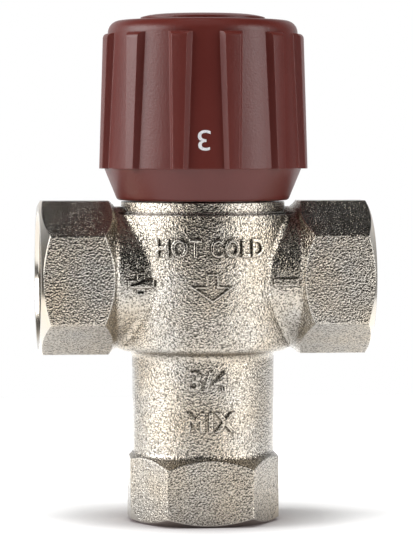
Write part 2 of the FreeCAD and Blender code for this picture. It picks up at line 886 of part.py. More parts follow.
def knob_screw():
    seat = web_top + washer_thickness
    head_top = seat + screw_head_height
    shank = screw_radius - screw_thread_fit
    blank = softened([
        (0, screw_bottom),
        (shank, screw_bottom),
        (shank, seat),
        (screw_head_radius, seat),
        (screw_head_radius, head_top),
        (0, head_top),
    ], {4: screw_head_round})
    return blank.cut(hexagon(screw_socket, seat + screw_socket_floor, head_top + past))


def knob_cap():
    """Cap with a plug ring. An arc that is level at its inner end crowns the top."""
    plug = cap_radius - cap_lip - cap_fit
    cap_top = knob_top + cap_thickness
    run = cap_radius - cap_flat_radius
    fall = cap_thickness - cap_edge
    crown = (run ** 2 + fall ** 2) / 2 / fall
    half = math.asin(run / crown) / 2
    middle = Vector(cap_flat_radius + crown * math.sin(half), 0, cap_top - crown * (1 - math.cos(half)))
    rim = Vector(cap_radius, 0, knob_top + cap_edge)
    flat_end = Vector(cap_flat_radius, 0, cap_top)
    corners = [
        flat_end,
        Vector(0, 0, cap_top),
        Vector(0, 0, knob_top),
        Vector(plug - cap_plug_wall, 0, knob_top),
        Vector(plug - cap_plug_wall, 0, well_top),
        Vector(plug, 0, well_top),
        Vector(plug, 0, knob_top),
        Vector(cap_radius, 0, knob_top),
        rim,
    ]
    edges = [Part.Arc(rim, middle, flat_end).toShape()]
    edges += Part.makePolygon(corners).Edges
    return revolved(edges)


# ---------------------------------------------------------------------------
# One STEP file for each piece
# ---------------------------------------------------------------------------

pieces = {
    "body": body(),
    "bonnet": bonnet(),
    "bonnet_seal": bonnet_seal(),
    "shuttle": shuttle(),
    "shuttle_seal": shuttle_seal(),
    "wax_element": wax_element(),
    "element_pin": element_pin(),
    "return_spring": return_spring(),
    "adjusting_nut": adjusting_nut(),
    "nut_ring": nut_ring(),
    "plunger": plunger(),
    "overload_spring": overload_spring(),
    "spindle": spindle(),
    "thrust_washer": thrust_washer(),
    "spindle_clip": spindle_clip(),
    "knob": knob(),
    "knob_washer": knob_washer(),
    "knob_screw": knob_screw(),
    "knob_cap": knob_cap(),
}
for name, level in seal_levels().items():
    pieces[name] = cord_ring(spindle_bore - spindle_seal_cord / 2, spindle_seal_cord, level)

os.makedirs("parts", exist_ok=True)
for name, shape in pieces.items():
    shape.exportStep("parts/%s.step" % name)
    box = shape.BoundBox
    print("%-20s valid=%s solids=%d faces=%d volume=%.1f z=%.2f..%.2f" % (
        name, shape.isValid(), len(shape.Solids), len(shape.Faces), shape.Volume, box.ZMin, box.ZMax))
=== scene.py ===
# %% [markdown]
# # A mixing valve with a dial knob
# The valve blends hot and cold water. Its body is one brass forging with three threaded ports,
# and a ribbed plastic knob on top sets the temperature. The exact solids come from the CAD frame.
# This file gives them their finishes, adds what is cut, cast or printed on them, and lights the
# scene.

# %% Load the frame and keep its box
import json
import math

import bpy
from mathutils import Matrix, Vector


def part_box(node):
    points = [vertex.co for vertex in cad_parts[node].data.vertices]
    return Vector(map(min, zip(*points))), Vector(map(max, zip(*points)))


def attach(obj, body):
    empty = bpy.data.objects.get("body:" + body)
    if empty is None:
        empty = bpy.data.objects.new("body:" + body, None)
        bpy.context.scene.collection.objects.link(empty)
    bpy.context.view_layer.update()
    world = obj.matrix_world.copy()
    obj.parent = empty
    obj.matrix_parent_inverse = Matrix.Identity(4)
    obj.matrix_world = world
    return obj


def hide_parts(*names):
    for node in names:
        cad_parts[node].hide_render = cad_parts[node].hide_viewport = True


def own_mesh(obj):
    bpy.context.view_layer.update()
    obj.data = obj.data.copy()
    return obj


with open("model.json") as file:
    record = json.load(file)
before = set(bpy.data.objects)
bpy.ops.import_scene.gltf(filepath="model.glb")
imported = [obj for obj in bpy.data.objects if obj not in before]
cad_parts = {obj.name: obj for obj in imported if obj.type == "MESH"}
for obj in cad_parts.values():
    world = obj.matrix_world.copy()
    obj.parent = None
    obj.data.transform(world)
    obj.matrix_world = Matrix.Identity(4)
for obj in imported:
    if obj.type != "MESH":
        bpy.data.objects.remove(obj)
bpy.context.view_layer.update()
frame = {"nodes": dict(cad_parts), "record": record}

scene = bpy.context.scene
nodes = frame["nodes"]
mm = 0.001

# %% [markdown]
# ## Sizes that the finishes need
# Nothing is measured twice: the ports' places and sizes come from the record's mounts, and how
# far the ports reach comes from the box of the body.

# %% Read the ports and the boxes
mounts = {mount["name"]: mount for mount in frame["record"]["mounts"]}
cold_inlet = mounts["cold_inlet"]
body_low, body_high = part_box("body")
knob_low, knob_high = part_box("knob")
port_reach = body_high.x
arm_height = cold_inlet["pos_m"][2]
thread_radius = cold_inlet["dims"]["r_mm"] * mm
thread_length = cold_inlet["dims"]["length_mm"] * mm
thread_start = port_reach - cold_inlet["pos_m"][0] - thread_length / 2
print("ports reach", port_reach, "thread starts", thread_start)
print("body from", body_low.z, "up, knob from", knob_low.z, "to", knob_high.z)

# %% [markdown]
# ## The camera
# A long lens from more than half a metre keeps the two hexagons nearly parallel, as in a
# catalogue picture. It stands a little to the left of the front, about level with the knob, and
# looks slightly down, so the left port's end face shows as a thin crescent.

# %% Place the camera
camera_turn = math.radians(6)
camera_distance = 0.6
camera_height = 0.0806
camera_lens = 185.4
film_width = 36
aim = Vector((0.0008, 0.0, 0.0517))
bpy.ops.object.camera_add(location=(
    -camera_distance * math.sin(camera_turn),
    -camera_distance * math.cos(camera_turn),
    camera_height,
))
camera = bpy.context.object
camera.data.lens = camera_lens
camera.data.sensor_width = film_width
camera.rotation_mode = "QUATERNION"
camera.rotation_quaternion = (aim - camera.location).to_track_quat("-Z", "Y")
camera.data.clip_start = 0.01
scene.camera = camera
print("camera at", tuple(round(value, 3) for value in camera.location))

# %% [markdown]
# ## Helpers for node trees
# A material is a small graph. These helpers keep each step to one readable line: add a node with
# its settings, and join an output to an input.

# %% Node helpers
def add(tree, kind, values=None, **settings):
    """A new node, with its settings and the values of its inputs."""
    node = tree.nodes.new(kind)
    for name, value in settings.items():
        setattr(node, name, value)
    for name, value in (values or {}).items():
        node.inputs[name].default_value = value
    return node


def join(tree, *pairs):
    """Links outputs to inputs, given as (output, input) pairs."""
    for source, target in pairs:
        tree.links.new(source, target)


def calc(tree, operation, first, second=None, third=None, clamp=False):
    """A Math node's output. An operand is a number or another node's output."""
    node = add(tree, "ShaderNodeMath", operation=operation, use_clamp=clamp)
    for place, operand in enumerate((first, second, third)):
        if operand is None:
            continue
        if isinstance(operand, (int, float)):
            node.inputs[place].default_value = operand
        else:
            join(tree, (operand, node.inputs[place]))
    return node.outputs[0]


def blend_colour(tree, factor, first, second):
    """A Mix node's colour. A colour is an (r, g, b) tuple or another node's output.

    A colour Mix node has its factor in input 0, its colours in 6 and 7, its result in output 2.
    """
    node = add(tree, "ShaderNodeMix", data_type="RGBA", blend_type="MIX")
    sockets = (node.inputs[0], node.inputs[6], node.inputs[7])
    for socket, value in zip(sockets, (factor, first, second)):
        if isinstance(value, tuple):
            socket.default_value = (*value, 1)
        elif isinstance(value, (int, float)):
            socket.default_value = value
        else:
            join(tree, (value, socket))
    return node.outputs[2]


def new_group(name, inputs, outputs):
    """An empty shader node group with its sockets: (name, type, default) in, (name, type) out."""
    group = bpy.data.node_groups.new(name, "ShaderNodeTree")
    for label, kind, default in inputs:
        socket = group.interface.new_socket(label, in_out="INPUT", socket_type=kind)
        socket.default_value = default
    for label, kind in outputs:
        group.interface.new_socket(label, in_out="OUTPUT", socket_type=kind)
    way_in = add(group, "NodeGroupInput").outputs
    way_out = add(group, "NodeGroupOutput").inputs
    return group, way_in, way_out


def place_group(tree, group, **values):
    """A group in a material, with its inputs' values."""
    node = add(tree, "ShaderNodeGroup", node_tree=group)
    for label, value in values.items():
        node.inputs[label.replace("_", " ")].default_value = value
    return node.outputs


def distance_from_axis(tree, first, second):
    """The length of a flat vector, from the outputs of its two parts."""
    squares = calc(tree, "ADD", calc(tree, "POWER", first, 2.0), calc(tree, "POWER", second, 2.0))
    return calc(tree, "SQRT", squares)


def new_material(name):
    """A new material, its node tree and its Principled surface."""
    material = bpy.data.materials.new(name)
    material.use_nodes = True
    tree = material.node_tree
    return material, tree, tree.nodes["Principled BSDF"]

# %% [markdown]
# ## Shared effect: blasted grain
# The forging is shot-blasted before it is plated, so its skin is a field of small dents that
# sparkle where they face a lamp and go black where they face the dark. A smooth cell pattern and
# a noise, each about a third of a millimetre wide, add up to the dents' height, which feeds the
# bump. A mask of the noise's low places marks where shade is painted dark into the dents, and a
# broad cloud varies the tone.

# %% Grain group
float_in = "NodeSocketFloat"
dent_smoothness = 0.35
dent_share = 0.5
pit_level = 0.50
pit_sharpness = 12.0
cloud_scale = 90.0
grain_group, grain_in, grain_out = new_group(
    "blasted grain",
    [("Size", float_in, 0.0004)],
    [("Height", float_in), ("Pits", float_in), ("Cloud", float_in)],
)
coords = add(grain_group, "ShaderNodeTexCoord").outputs["Object"]
fineness = calc(grain_group, "DIVIDE", 1.0, grain_in["Size"])
dents = add(grain_group, "ShaderNodeTexVoronoi", feature="SMOOTH_F1")
dents.inputs["Smoothness"].default_value = dent_smoothness
ripples = add(grain_group, "ShaderNodeTexNoise", {"Detail": 2.0, "Roughness": 0.6})
cloud = add(grain_group, "ShaderNodeTexNoise", {"Scale": cloud_scale, "Detail": 3.0})
join(
    grain_group,
    (coords, dents.inputs["Vector"]),
    (coords, ripples.inputs["Vector"]),
    (coords, cloud.inputs["Vector"]),
    (fineness, dents.inputs["Scale"]),
    (fineness, ripples.inputs["Scale"]),
)
depth = dents.outputs["Distance"]
height = calc(grain_group, "MULTIPLY_ADD", depth, dent_share, ripples.outputs[0])
pits = calc(grain_group, "SUBTRACT", pit_level, ripples.outputs[0])
pits = calc(grain_group, "MULTIPLY", pits, pit_sharpness, clamp=True)
join(
    grain_group,
    (height, grain_out["Height"]),
    (pits, grain_out["Pits"]),
    (cloud.outputs[0], grain_out["Cloud"]),
)
print("grain group has", len(grain_group.nodes), "nodes")

# %% [markdown]
# ## Shared effect: rounded edges
# Every edge that hands or tools touch is a little rounded. The Bevel node gives the normal that a
# rounded edge would have. Where it differs from the true normal, there is an edge. The moulded
# pieces are rubbed pale along it, and the nickel gets a painted highlight there.

# %% Edge group
edge_sharpness = 12.0
edge_group, edge_in, edge_out = new_group(
    "rubbed and highlighted edge",
    [("Radius", float_in, 0.0003)],
    [("Normal", "NodeSocketVector"), ("Mask", float_in)],
)
rounding = add(edge_group, "ShaderNodeBevel", samples=6)
geometry = add(edge_group, "ShaderNodeNewGeometry")
likeness = add(edge_group, "ShaderNodeVectorMath", operation="DOT_PRODUCT")
join(
    edge_group,
    (edge_in["Radius"], rounding.inputs["Radius"]),
    (rounding.outputs["Normal"], likeness.inputs[0]),
    (geometry.outputs["Normal"], likeness.inputs[1]),
    (rounding.outputs["Normal"], edge_out["Normal"]),
)
difference = calc(edge_group, "SUBTRACT", 1.0, likeness.outputs["Value"])
edge_mask = calc(edge_group, "MULTIPLY", difference, edge_sharpness, clamp=True)
join(edge_group, (edge_mask, edge_out["Mask"]))
print("edge group has", len(edge_group.nodes), "nodes")

# %% [markdown]
# ## Shared effect: painted shade in corners
# The inside corners, at the foot of each letter and along each joint, are painted a darker brown
# as shade. The Ambient Occlusion node, with a reach of under a millimetre, finds those corners,
# and a steep ramp keeps the painted shade narrow.

# %% Painted corner shade group
open_level = 0.92
corner_shade_sharpness = 2.4
corner_shade_group, corner_shade_in, corner_shade_out = new_group(
    "painted corner shade",
    [("Reach", float_in, 0.0006)],
    [("Mask", float_in)],
)
corners = add(corner_shade_group, "ShaderNodeAmbientOcclusion", samples=6)
join(corner_shade_group, (corner_shade_in["Reach"], corners.inputs["Distance"]))
hidden = calc(corner_shade_group, "SUBTRACT", open_level, corners.outputs["AO"])
corner_shade_mask = calc(corner_shade_group, "MULTIPLY", hidden, corner_shade_sharpness, clamp=True)
join(corner_shade_group, (corner_shade_mask, corner_shade_out["Mask"]))
print("painted corner shade group has", len(corner_shade_group.nodes), "nodes")

# %% [markdown]
# ## Shared effect: machined ports
# The end faces, their bevels and the bores are turned on a lathe after forging, so they are
# smooth and bright. A point belongs to them if it lies inside the cone of the outer bevel or
# within the thread's radius, measured from the port's own mouth and axis.

# %% Machined group
bevel_rate = math.tan(math.radians(30))
skin_depth = 0.06 * mm
bore_margin = 0.9 * mm
machined_group, machined_in, machined_out = new_group(
    "machined port",
    [("Depth", float_in, 0.0), ("Radius", float_in, 0.0), ("Ring", float_in, 0.015)],
    [("Mask", float_in)],
)
beyond_ring = calc(machined_group, "SUBTRACT", machined_in["Radius"], machined_in["Ring"])
beyond_ring = calc(machined_group, "MAXIMUM", beyond_ring, 0.0)
bevel_depth = calc(machined_group, "MULTIPLY", beyond_ring, bevel_rate)
under_bevel = calc(machined_group, "SUBTRACT", machined_in["Depth"], bevel_depth)
on_end = calc(machined_group, "LESS_THAN", under_bevel, skin_depth)
in_bore = calc(machined_group, "LESS_THAN", machined_in["Radius"], thread_radius + bore_margin)
join(machined_group, (calc(machined_group, "MAXIMUM", on_end, in_bore), machined_out["Mask"]))
print("machined group has", len(machined_group.nodes), "nodes")

# %% [markdown]
# ## Nickel-plated forging
# Nickel is a slightly warm grey metal. Its blasted skin is dented, with shade painted dark into
# the dents, its machined faces are plain, and faint beige clouds break up the plating. A brown
# painted shade lies in the corners and along the parting groove round the neck, and a pale
# highlight is painted on the edges.

# %% Nickel material
inlet_ring = 15.2 * mm
outlet_ring = 14.82 * mm
groove_level = arm_height + 13.6 * mm
groove_half = 0.3 * mm
groove_sharpness = 3.0
barrel_limit = 19.5 * mm
nickel_grey = (0.48, 0.455, 0.415)
nickel_beige = (0.53, 0.46, 0.365)
cloud_gain = 2.4
cloud_offset = -0.75
dent_painted_shade = (0.12, 0.105, 0.085)
dent_shade_strength = 0.85
painted_shade_brown = (0.06, 0.048, 0.036)
painted_shade_reach = 0.7 * mm
edge_highlight_colour = (0.86, 0.84, 0.80)
edge_highlight_strength = 0.4
edge_round_radius = 0.35 * mm
machined_roughness = 0.18
blasted_change = -0.03


def nickel(name, grain_size, grain_height, painted_shade_share, all_machined=False):
    """Plated metal that is blasted outside and machined at the ports, or machined all over."""
    material, tree, surface = new_material(name)
    grain = place_group(tree, grain_group, Size=grain_size)
    edge = place_group(tree, edge_group, Radius=edge_round_radius)
    place = add(tree, "ShaderNodeTexCoord").outputs["Object"]
    split = add(tree, "ShaderNodeSeparateXYZ")
    join(tree, (place, split.inputs[0]))
    x, y, z = split.outputs
    side_radius = distance_from_axis(tree, y, calc(tree, "SUBTRACT", z, arm_height))
    down_radius = distance_from_axis(tree, x, y)
    side_depth = calc(tree, "SUBTRACT", port_reach, calc(tree, "ABSOLUTE", x))
    masks = []
    inlets = (side_depth, side_radius, inlet_ring)
    outlet = (z, down_radius, outlet_ring)
    for depth, radius, ring in (inlets, outlet):
        port = add(tree, "ShaderNodeGroup", node_tree=machined_group)
        port.inputs["Ring"].default_value = ring
        join(tree, (depth, port.inputs["Depth"]), (radius, port.inputs["Radius"]))
        masks.append(port.outputs["Mask"])
    machined = calc(tree, "MAXIMUM", masks[0], masks[1])
    if all_machined:
        machined = calc(tree, "MAXIMUM", machined, 1.0)
    blasted = calc(tree, "SUBTRACT", 1.0, machined)

    tone = calc(tree, "MULTIPLY_ADD", grain["Cloud"], cloud_gain, cloud_offset, clamp=True)
    colour = blend_colour(tree, tone, nickel_grey, nickel_beige)
    # Painted shade: the dents' low places on the blasted skin are darkened towards near-black.
    dark = calc(tree, "MULTIPLY", calc(tree, "MULTIPLY", grain["Pits"], blasted), dent_shade_strength)
    colour = blend_colour(tree, dark, colour, dent_painted_shade)
    # Painted shade: the corners that the Ambient Occlusion node finds and a thin line along the
    # parting groove are darkened to brown.
    corner_shade = place_group(tree, corner_shade_group, Reach=painted_shade_reach)
    off_line = calc(tree, "ABSOLUTE", calc(tree, "SUBTRACT", z, groove_level))
    groove = calc(tree, "SUBTRACT", 1.0, calc(tree, "DIVIDE", off_line, groove_half))
    groove = calc(tree, "MULTIPLY", groove, groove_sharpness, clamp=True)
    groove = calc(tree, "MULTIPLY", groove, calc(tree, "LESS_THAN", down_radius, barrel_limit))
    painted_shade = calc(tree, "MAXIMUM", corner_shade["Mask"], groove)
    painted_shade = calc(tree, "MULTIPLY", painted_shade, calc(tree, "MULTIPLY", blasted, painted_shade_share))
    colour = blend_colour(tree, painted_shade, colour, painted_shade_brown)
    # Painted highlight: the nickel's edges are mixed towards a pale colour.
    edge_highlight = calc(tree, "MULTIPLY", edge["Mask"], edge_highlight_strength)
    colour = blend_colour(tree, edge_highlight, colour, edge_highlight_colour)

    rough = calc(tree, "MULTIPLY_ADD", blasted, blasted_change, machined_roughness)
    bump = add(tree, "ShaderNodeBump", {"Distance": grain_height})
    join(
        tree,
        (calc(tree, "MULTIPLY", grain["Height"], blasted), bump.inputs["Height"]),
        (edge["Normal"], bump.inputs["Normal"]),
        (bump.outputs["Normal"], surface.inputs["Normal"]),
        (colour, surface.inputs["Base Color"]),
        (rough, surface.inputs["Roughness"]),
    )
    surface.inputs["Metallic"].default_value = 1.0
    return material


body_nickel = nickel("nickel plated forging", 0.38 * mm, 0.155 * mm, 0.9)
mark_nickel = nickel("nickel plated marks", 0.36 * mm, 0.08 * mm, 0.1)
print("nickel uses", len(body_nickel.node_tree.nodes), "nodes")

# %% [markdown]
# ## Moulded knob plastic
# The knob and its cap are dark red-brown nylon with a satin skin. Faint clouds and pale edges
# vary the colour, and a very fine texture varies the gloss. The pale shuttle and the black seals
# are made the same way.

# %% Plastic material
moulded_edge = 0.28 * mm
skin_size = 0.5 * mm
skin_height = 0.03 * mm
skin_clouds = 0.5
skin_gloss = 0.1
pale_edge = 0.8
moulded_shine = 0.4


def moulded(name, colour, light, roughness):
    """A moulded plastic or rubber. Light is the colour of its clouds and edges."""
    material, tree, surface = new_material(name)
    edge = place_group(tree, edge_group, Radius=moulded_edge)
    skin = place_group(tree, grain_group, Size=skin_size)
    tinted = blend_colour(tree, calc(tree, "MULTIPLY", skin["Cloud"], skin_clouds), colour, light)
    tinted = blend_colour(tree, calc(tree, "MULTIPLY", edge["Mask"], pale_edge), tinted, light)
    rough = calc(tree, "MULTIPLY_ADD", skin["Height"], skin_gloss, roughness)
    bump = add(tree, "ShaderNodeBump", {"Distance": skin_height})
    join(
        tree,
        (skin["Height"], bump.inputs["Height"]),
        (edge["Normal"], bump.inputs["Normal"]),
        (bump.outputs["Normal"], surface.inputs["Normal"]),
        (tinted, surface.inputs["Base Color"]),
        (rough, surface.inputs["Roughness"]),
    )
    surface.inputs["Specular IOR Level"].default_value = moulded_shine
    return material


knob_plastic = moulded("red-brown moulding", (0.086, 0.0112, 0.0082), (0.16, 0.033, 0.025), 0.31)
shuttle_plastic = moulded("natural moulding", (0.72, 0.70, 0.64), (0.80, 0.78, 0.73), 0.4)
seal_rubber = moulded("seal rubber", (0.012, 0.012, 0.012), (0.03, 0.03, 0.03), 0.45)
print("moulded finishes:", knob_plastic.name, shuttle_plastic.name, seal_rubber.name)

# %% [markdown]
# ## Turned metals of the inner pieces
# Brass, copper and stainless steel pieces are turned or drawn. Noise that is stretched round the
# axis gives fine lathe lines.

# %% Turned metal material
turned_edge = 0.15 * mm
line_scale = 300.0
line_stretch = 30.0
line_height = 0.01 * mm
line_gain = 1.6
line_offset = -0.4
line_gloss = 0.12


def turned(name, colour, stained, roughness):
    """A turned or drawn metal. Stained is the colour of its duller lines."""
    material, tree, surface = new_material(name)
    edge = place_group(tree, edge_group, Radius=turned_edge)
    place = add(tree, "ShaderNodeTexCoord").outputs["Object"]
    stretch = add(tree, "ShaderNodeMapping")
    stretch.inputs["Scale"].default_value = (1.0, 1.0, line_stretch)
    lines = add(tree, "ShaderNodeTexNoise", {"Scale": line_scale, "Detail": 2.0})
    join(tree, (place, stretch.inputs["Vector"]))
    join(tree, (stretch.outputs["Vector"], lines.inputs["Vector"]))
    tone = calc(tree, "MULTIPLY_ADD", lines.outputs[0], line_gain, line_offset, clamp=True)
    bump = add(tree, "ShaderNodeBump", {"Distance": line_height})
    join(
        tree,
        (lines.outputs[0], bump.inputs["Height"]),
        (edge["Normal"], bump.inputs["Normal"]),
        (bump.outputs["Normal"], surface.inputs["Normal"]),
        (blend_colour(tree, tone, colour, stained), surface.inputs["Base Color"]),
        (calc(tree, "MULTIPLY_ADD", tone, line_gloss, roughness), surface.inputs["Roughness"]),
    )
    surface.inputs["Metallic"].default_value = 1.0
    return material


finishes = {
    "plated_brass": body_nickel,
    "plain_brass": turned("turned brass", (0.80, 0.58, 0.26), (0.66, 0.46, 0.20), 0.22),
    "copper": turned("drawn copper", (0.80, 0.42, 0.28), (0.62, 0.32, 0.20), 0.28),
    "stainless": turned("stainless steel", (0.60, 0.60, 0.59), (0.48, 0.48, 0.47), 0.2),
    "seal_rubber": seal_rubber,
    "shuttle_plastic": shuttle_plastic,
    "dial_plastic": knob_plastic,
    "cap_plastic": knob_plastic,
}
slot_of = {part["node"]: part["material_slot"] for part in frame["record"]["subparts"]}
for name, node in nodes.items():
    node.data.materials.clear()
    node.data.materials.append(finishes[slot_of[name]])
print(len(nodes), "solids have a finish")

# %% [markdown]
# ## Helpers for new pieces
# Operators act on what is selected, so each piece starts from an empty selection and ends with
# its place in its mesh, its finish and its body.

# %% Piece helpers
def clear_selection():
    bpy.ops.object.select_all(action="DESELECT")


def use_modifier(piece, kind, **settings):
    """Adds a modifier to the active piece and applies it."""
    modifier = piece.modifiers.new(kind.title(), kind)
    for name, value in settings.items():
        setattr(modifier, name, value)
    bpy.ops.object.modifier_apply(modifier=modifier.name)


def settle(piece, name, material, body):
    """Names a finished piece, moves its place into its mesh and fastens it to its body."""
    clear_selection()
    piece.select_set(True)
    bpy.context.view_layer.objects.active = piece
    bpy.ops.object.transform_apply(location=True, rotation=True, scale=True)
    piece.name = name
    piece.data.name = name
    piece.data.materials.clear()
    piece.data.materials.append(material)
    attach(piece, body)
    print(name, len(piece.data.vertices), "vertices")

# %% [markdown]
# ## Pipe threads in the ports
# Each port carries an inside thread of 14 turns to the inch. A thread is one ridge that climbs
# the bore, so its section is drawn once, a narrow trapezium with its wide side in the wall, and
# the Screw modifier winds it up. The open ends are closed with a face each.

# %% Wind the threads
thread_pitch = 25.4 / 14 * mm
thread_crest_radius = 12.06 * mm
thread_runout = 1.2 * mm
ridge_root = 1.62 * mm
ridge_crest = 0.42 * mm
wall_overlap = 0.04 * mm
thread_steps = 48
smooth_below = math.radians(40)
quarter = math.pi / 2


def wind(profile, turns, rise, steps):
    """Winds a closed profile about Z, closes the two ends and makes the faces point outwards."""
    corners = len(profile.data.vertices)
    all_steps = int(steps * turns)
    use_modifier(profile, "SCREW", axis="Z", angle=2 * math.pi * turns, screw_offset=rise,
                 steps=all_steps, render_steps=all_steps, use_smooth_shade=False)
    bpy.ops.object.mode_set(mode="EDIT")
    bpy.ops.mesh.select_mode(type="VERT")
    bpy.ops.mesh.select_all(action="DESELECT")
    bpy.ops.mesh.select_non_manifold(extend=False)
    bpy.ops.mesh.fill_holes(sides=corners)
    bpy.ops.mesh.select_all(action="SELECT")
    bpy.ops.mesh.normals_make_consistent(inside=False)
    bpy.ops.object.mode_set(mode="OBJECT")
    bpy.ops.object.shade_smooth_by_angle(angle=smooth_below)


def port_thread(name, turn, place):
    """A ridge wound about Z from z = 0 upwards, then turned into its port."""
    clear_selection()
    depth = thread_radius + wall_overlap - thread_crest_radius
    bpy.ops.mesh.primitive_plane_add(size=1, rotation=(quarter, 0, 0))
    ridge = bpy.context.object
    ridge.scale = (depth, ridge_root, 1)
    ridge.location.x = thread_crest_radius + depth / 2
    bpy.ops.object.transform_apply(location=True, rotation=True, scale=True)
    bpy.ops.object.mode_set(mode="EDIT")
    bpy.ops.mesh.select_mode(type="VERT")
    bpy.ops.mesh.delete(type="ONLY_FACE")
    bpy.ops.mesh.select_all(action="DESELECT")
    bpy.ops.object.mode_set(mode="OBJECT")
    for vertex in ridge.data.vertices:
        vertex.select = vertex.co.x < thread_crest_radius + depth / 2
    bpy.ops.object.mode_set(mode="EDIT")
    bpy.ops.transform.resize(value=(1, 1, ridge_crest / ridge_root))
    bpy.ops.object.mode_set(mode="OBJECT")
    turns = (thread_length - thread_runout - ridge_root) / thread_pitch
    wind(ridge, turns, thread_pitch * turns, thread_steps)
    ridge.location = (0, 0, ridge_root / 2 + thread_start)
    bpy.ops.object.transform_apply(location=True, rotation=False, scale=False)
    ridge.rotation_euler = turn
    ridge.location = place
    settle(ridge, name, thread_nickel, "casing")


thread_nickel = nickel("nickel plated thread", 0.36 * mm, 0.05 * mm, 0.9, all_machined=True)
port_thread("outlet_thread", (0, 0, 0), (0, 0, 0))
port_thread("hot_inlet_thread", (0, quarter, 0), (-port_reach, 0, arm_height))
port_thread("cold_inlet_thread", (0, -quarter, 0), (port_reach, 0, arm_height))

# %% [markdown]
# ## Wound springs
# Two springs work inside: one pushes the shuttle back, the other lets the wax element overrun.
# Their solids are stiff, so each is wound again here in its solid's place, and the solid is
# hidden.
# The record's joints name these solids. A round wire section is wound with the Screw modifier, as
# the threads are.

# %% Wind the springs
wire_corners = 12
spring_steps = 32


def working_spring(name, node, wire, turns):
    """A spring wound in its solid's place and fastened to the solid's body."""
    clear_selection()
    low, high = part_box(node)
    bodies = frame["record"]["behaviour"]["bodies"]
    body = next(body for body, members in bodies.items() if node in members)
    first_place = (high.x - wire / 2, 0, low.z + wire / 2)
    bpy.ops.mesh.primitive_circle_add(
        vertices=wire_corners, radius=wire / 2, rotation=(quarter, 0, 0), location=first_place
    )
    spring = bpy.context.object
    bpy.ops.object.transform_apply(location=True, rotation=True, scale=True)
    height = high.z - low.z
    wind(spring, turns, height - wire, spring_steps)
    settle(spring, name, finishes["stainless"], body)
    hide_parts(node)
    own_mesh(spring)


wires = {
    "return_spring": ("return_coil", 1.4 * mm, 7),
    "overload_spring": ("overload_coil", 1.1 * mm, 4),
}
for joint in frame["record"]["behaviour"]["joints"]:
    for part in joint.get("deforming_nodes", []):
        name, wire, turns = wires[part["node"]]
        working_spring(name, part["node"], wire, turns)

# %% [markdown]
# ## Raised marks on the forging
# The die leaves raised words that say which water goes where. Each word is typed flat, laid on
# the surface behind it with a Shrinkwrap modifier and given its height with Solidify. A fine
# voxel Remesh and a few passes of Smooth then round its edges, because a forging has no sharp
# letters.

# %% Make the marks
mark_height = 0.62 * mm
mark_sink = 0.3 * mm
mark_voxel = 0.07 * mm
mark_passes = 7
thin_boldness = 0.03
sign_boldness = 0.05
curve_steps = 4
letter_gap = 1.12
front_gap = 60 * mm


def typed(words, width, height, x, z, turn, boldness):
    """Flat letters of a given size in front of the valve, facing -Y."""
    clear_selection()
    bpy.ops.object.text_add(location=(0, 0, 0), rotation=(0, 0, 0))
    letters = bpy.context.object
    letters.data.body = words
    letters.data.align_x = "CENTER"
    letters.data.align_y = "CENTER"
    letters.data.resolution_u = curve_steps
    letters.data.offset = boldness
    letters.data.space_character = letter_gap
    bpy.ops.object.convert(target="MESH")
    letters = bpy.context.object
    size = letters.dimensions
    bpy.ops.object.origin_set(type="ORIGIN_GEOMETRY", center="BOUNDS")
    letters.location = (0, 0, 0)
    letters.scale = (width / size.x, height / size.y, 1)
    bpy.ops.object.transform_apply(location=True, rotation=True, scale=True)
    letters.rotation_euler = (quarter, turn, 0)
    bpy.ops.object.transform_apply(location=False, rotation=True, scale=False)
    letters.location = (x, -front_gap, z)
    bpy.ops.object.transform_apply(location=True, rotation=False, scale=False)
    return letters


def raise_on(piece, node, height, sink):
    """Lays a flat piece on a solid along Y and thickens it both ways."""
    use_modifier(piece, "SHRINKWRAP", target=nodes[node], wrap_method="PROJECT", offset=0.0,
                 use_project_y=True, use_project_z=False,
                 use_positive_direction=True, use_negative_direction=False)
    thickness = height + sink
    use_modifier(piece, "SOLIDIFY", thickness=thickness, offset=(height - sink) / thickness)


def soften(piece, voxel, passes):
    """Gives a piece even faces and then wears its edges round, as a forging die leaves them."""
    use_modifier(piece, "REMESH", mode="VOXEL", voxel_size=voxel)
    use_modifier(piece, "SMOOTH", factor=0.5, iterations=passes)
    bpy.ops.object.shade_smooth()


marks = {
    "mark_hot": ("HOT", 9.1, 3.9, -6.7, 58.15),
    "mark_cold": ("COLD", 11.2, 3.9, 5.2, 58.15),
    "mark_size": ("3/4", 8.0, 4.4, -0.3, 30.5),
    "mark_mix": ("MIX", 10.3, 4.3, 0.2, 21.95),
    "mark_warmer": ("+", 5.4, 4.7, -14.4, 50.9),
    "mark_cooler": ("-", 5.2, 1.6, 15.8, 51.0),
}
for name, (words, width, height, x, z) in marks.items():
    boldness = sign_boldness if words in "+-" else thin_boldness
    letters = typed(words, width * mm, height * mm, x * mm, z * mm, 0.0, boldness)
    raise_on(letters, "body", mark_height, mark_sink)
    soften(letters, mark_voxel, mark_passes)
    settle(letters, name, mark_nickel, "casing")

# %% [markdown]
# ## Flow arrow
# A fine raised outline under the words points down, the way the mixed water leaves. It starts as
# one flat arrow-shaped face. Inset makes the narrow rim, the middle is deleted, and what is left
# is laid on the barrel in the same way as the words.

# %% Make the flow arrow
arrow_line = 0.42 * mm
arrow_height = 0.4 * mm
arrow_level = 50.0
arrow_passes = 3
rim_cuts = 7


